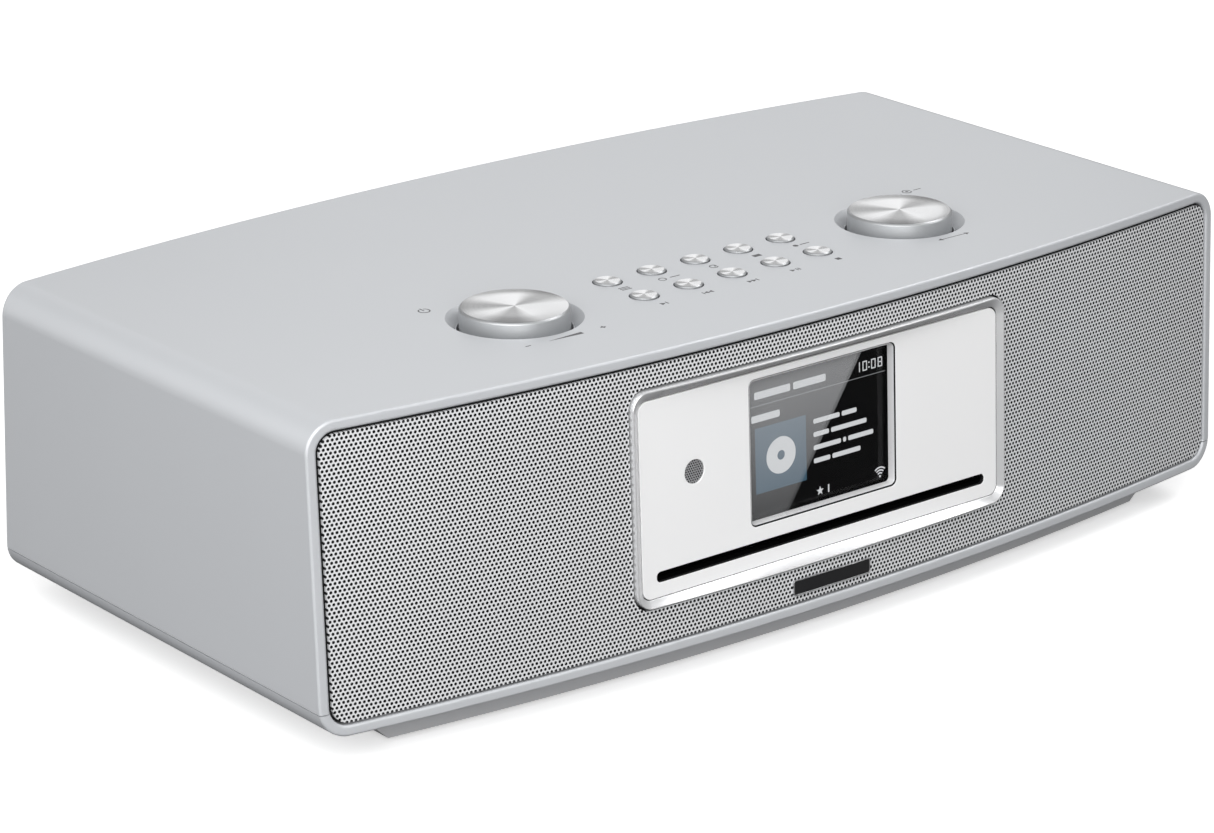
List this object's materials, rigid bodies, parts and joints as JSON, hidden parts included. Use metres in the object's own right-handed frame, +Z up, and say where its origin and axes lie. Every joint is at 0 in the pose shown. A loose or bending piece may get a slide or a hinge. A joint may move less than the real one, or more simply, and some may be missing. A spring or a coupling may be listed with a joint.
{
  "type": "mini hifi system",
  "caption": "Shallow table-top music system with a bowed perforated front, centre display panel, disc slot, top buttons and push knobs.",
  "frame": {"origin": "bottom centre of the whole object's box, on the table under the rubber feet", "axes": "+X to the listener's right along the width, +Y to the back, +Z up; the display faces -Y"},
  "size_m": [0.36, 0.1987, 0.1081],
  "materials": {
    "case_silver": "satin silver paint over moulded plastic",
    "plinth_grey": "satin dark silver paint",
    "foot_rubber": "matt moulded rubber",
    "grille_silver": "perforated sheet, satin silver paint",
    "black_plastic": "fine textured moulding",
    "frame_chrome": "bright satin chrome plating",
    "panel_white": "pearl silver-white gloss",
    "screen_glass": "clear acrylic window",
    "screen_black": "polished black",
    "felt": "dense felt",
    "badge_dark": "dark brushed plate with no lettering",
    "knob_aluminium": "spun top, satin side",
    "button_aluminium": "spun top",
    "steel": "zinc plated",
    "white_nylon": "moulded nylon",
    "circuit_board": "green solder mask",
    "drive_plastic": "glass-filled moulding",
    "soft_rubber": "matt rubber",
    "basket_metal": "black painted pressed steel",
    "magnet_ferrite": "ferrite and plated steel",
    "cone_paper": "doped paper",
    "socket_plastic": "black nylon"
  },
  "bodies": {
    "case": {"audio_sockets": "socket_plastic", "badge_plate": "badge_dark", "base_plinth": "plinth_grey", "bass_ports": "black_plastic", "bottom_tray": "case_silver", "case_screws": "steel", "display_frame": "frame_chrome", "display_lens": "screen_glass", "display_panel": "panel_white", "drive_chassis": "drive_plastic", "dust_brushes": "felt", "front_baffle": "black_plastic", "front_grille": "grille_silver", "ir_window": "screen_black", "key_board": "circuit_board", "key_switches": "black_plastic", "lcd_module": "screen_black", "left_speaker_basket": "basket_metal", "left_speaker_magnet": "magnet_ferrite", "left_speaker_surround": "soft_rubber", "loading_belt": "soft_rubber", "loading_motor": "steel", "main_board": "circuit_board", "mains_inlet": "black_plastic", "power_supply": "circuit_board", "rear_panel": "black_plastic", "right_speaker_basket": "basket_metal", "right_speaker_magnet": "magnet_ferrite", "right_speaker_surround": "soft_rubber", "rubber_feet": "foot_rubber", "select_encoder": "black_plastic", "top_cover": "case_silver", "volume_encoder": "black_plastic"},
    "volume_rotor": {"volume_rotor": "white_nylon"},
    "volume_knob": {"volume_knob": "knob_aluminium", "volume_shaft": "steel"},
    "select_rotor": {"select_rotor": "white_nylon"},
    "select_knob": {"select_knob": "knob_aluminium", "select_shaft": "steel"},
    "button_front_1": {"button_front_1": "button_aluminium"},
    "button_front_2": {"button_front_2": "button_aluminium"},
    "button_front_3": {"button_front_3": "button_aluminium"},
    "button_front_4": {"button_front_4": "button_aluminium"},
    "button_front_5": {"button_front_5": "button_aluminium"},
    "button_rear_1": {"button_rear_1": "button_aluminium"},
    "button_rear_2": {"button_rear_2": "button_aluminium"},
    "button_rear_3": {"button_rear_3": "button_aluminium"},
    "button_rear_4": {"button_rear_4": "button_aluminium"},
    "button_rear_5": {"button_rear_5": "button_aluminium"},
    "left_cone": {"left_speaker_cone": "cone_paper"},
    "right_cone": {"right_speaker_cone": "cone_paper"},
    "loading_roller": {"loading_roller": "soft_rubber"},
    "motor_pulley": {"motor_pulley": "white_nylon"},
    "traverse": {"traverse_base": "steel", "guide_rods": "steel", "spindle_motor": "steel"},
    "turntable": {"turntable": "black_plastic"},
    "clamper": {"disc_clamper": "black_plastic"},
    "sled": {"laser_sled": "drive_plastic"},
    "lead_screw": {"lead_screw": "steel"}
  },
  "joints": [
    {"name": "volume_spin", "type": "hinge", "parent": "case", "child": "volume_rotor", "pos_m": [-0.0772, -0.0423, 0.0965], "axis": [0, 0, 1], "continuous": true},
    {"name": "volume_push", "type": "slide", "parent": "volume_rotor", "child": "volume_knob", "axis": [0, 0, -1], "range_m": [0, 0.0008]},
    {"name": "select_spin", "type": "hinge", "parent": "case", "child": "select_rotor", "pos_m": [0.0772, -0.0423, 0.0965], "axis": [0, 0, 1], "continuous": true},
    {"name": "select_push", "type": "slide", "parent": "select_rotor", "child": "select_knob", "axis": [0, 0, -1], "range_m": [0, 0.0008]},
    {"name": "button_front_1_press", "type": "slide", "parent": "case", "child": "button_front_1", "axis": [0, 0, -1], "range_m": [0, 0.0005]},
    {"name": "button_front_2_press", "type": "slide", "parent": "case", "child": "button_front_2", "axis": [0, 0, -1], "range_m": [0, 0.0005]},
    {"name": "button_front_3_press", "type": "slide", "parent": "case", "child": "button_front_3", "axis": [0, 0, -1], "range_m": [0, 0.0005]},
    {"name": "button_front_4_press", "type": "slide", "parent": "case", "child": "button_front_4", "axis": [0, 0, -1], "range_m": [0, 0.0005]},
    {"name": "button_front_5_press", "type": "slide", "parent": "case", "child": "button_front_5", "axis": [0, 0, -1], "range_m": [0, 0.0005]},
    {"name": "button_rear_1_press", "type": "slide", "parent": "case", "child": "button_rear_1", "axis": [0, 0, -1], "range_m": [0, 0.0005]},
    {"name": "button_rear_2_press", "type": "slide", "parent": "case", "child": "button_rear_2", "axis": [0, 0, -1], "range_m": [0, 0.0005]},
    {"name": "button_rear_3_press", "type": "slide", "parent": "case", "child": "button_rear_3", "axis": [0, 0, -1], "range_m": [0, 0.0005]},
    {"name": "button_rear_4_press", "type": "slide", "parent": "case", "child": "button_rear_4", "axis": [0, 0, -1], "range_m": [0, 0.0005]},
    {"name": "button_rear_5_press", "type": "slide", "parent": "case", "child": "button_rear_5", "axis": [0, 0, -1], "range_m": [0, 0.0005]},
    {"name": "left_cone_stroke", "type": "slide", "parent": "case", "child": "left_cone", "axis": [0, 1, 0], "range_m": [-0.0025, 0.0025]},
    {"name": "right_cone_stroke", "type": "slide", "parent": "case", "child": "right_cone", "axis": [0, 1, 0], "range_m": [-0.0025, 0.0025]},
    {"name": "roller_spin", "type": "hinge", "parent": "case", "child": "loading_roller", "pos_m": [0, -0.077, 0.03], "axis": [1, 0, 0], "continuous": true},
    {"name": "motor_pulley_spin", "type": "hinge", "parent": "case", "child": "motor_pulley", "pos_m": [0.07, -0.056, 0.026], "axis": [1, 0, 0], "continuous": true},
    {"name": "traverse_lift", "type": "slide", "parent": "case", "child": "traverse", "axis": [0, 0, 1], "range_m": [0, 0.0025]},
    {"name": "turntable_spin", "type": "hinge", "parent": "traverse", "child": "turntable", "pos_m": [0, -0.012, 0.03], "axis": [0, 0, 1], "continuous": true},
    {"name": "clamper_spin", "type": "hinge", "parent": "case", "child": "clamper", "pos_m": [0, -0.012, 0.04], "axis": [0, 0, 1], "continuous": true},
    {"name": "sled_slide", "type": "slide", "parent": "traverse", "child": "sled", "axis": [0, 1, 0], "range_m": [0, 0.034]},
    {"name": "lead_screw_spin", "type": "hinge", "parent": "traverse", "child": "lead_screw", "pos_m": [0.033, 0.03, 0.024], "axis": [0, 1, 0], "range_deg": [-1, 4081]}
  ],
  "couplings": [
    {"joint": "motor_pulley_spin", "follows": "roller_spin", "ratio": 2.3333},
    {"joint": "clamper_spin", "follows": "turntable_spin", "ratio": 1},
    {"joint": "lead_screw_spin", "follows": "sled_slide", "rad_per_m": 2094.4}
  ]
}
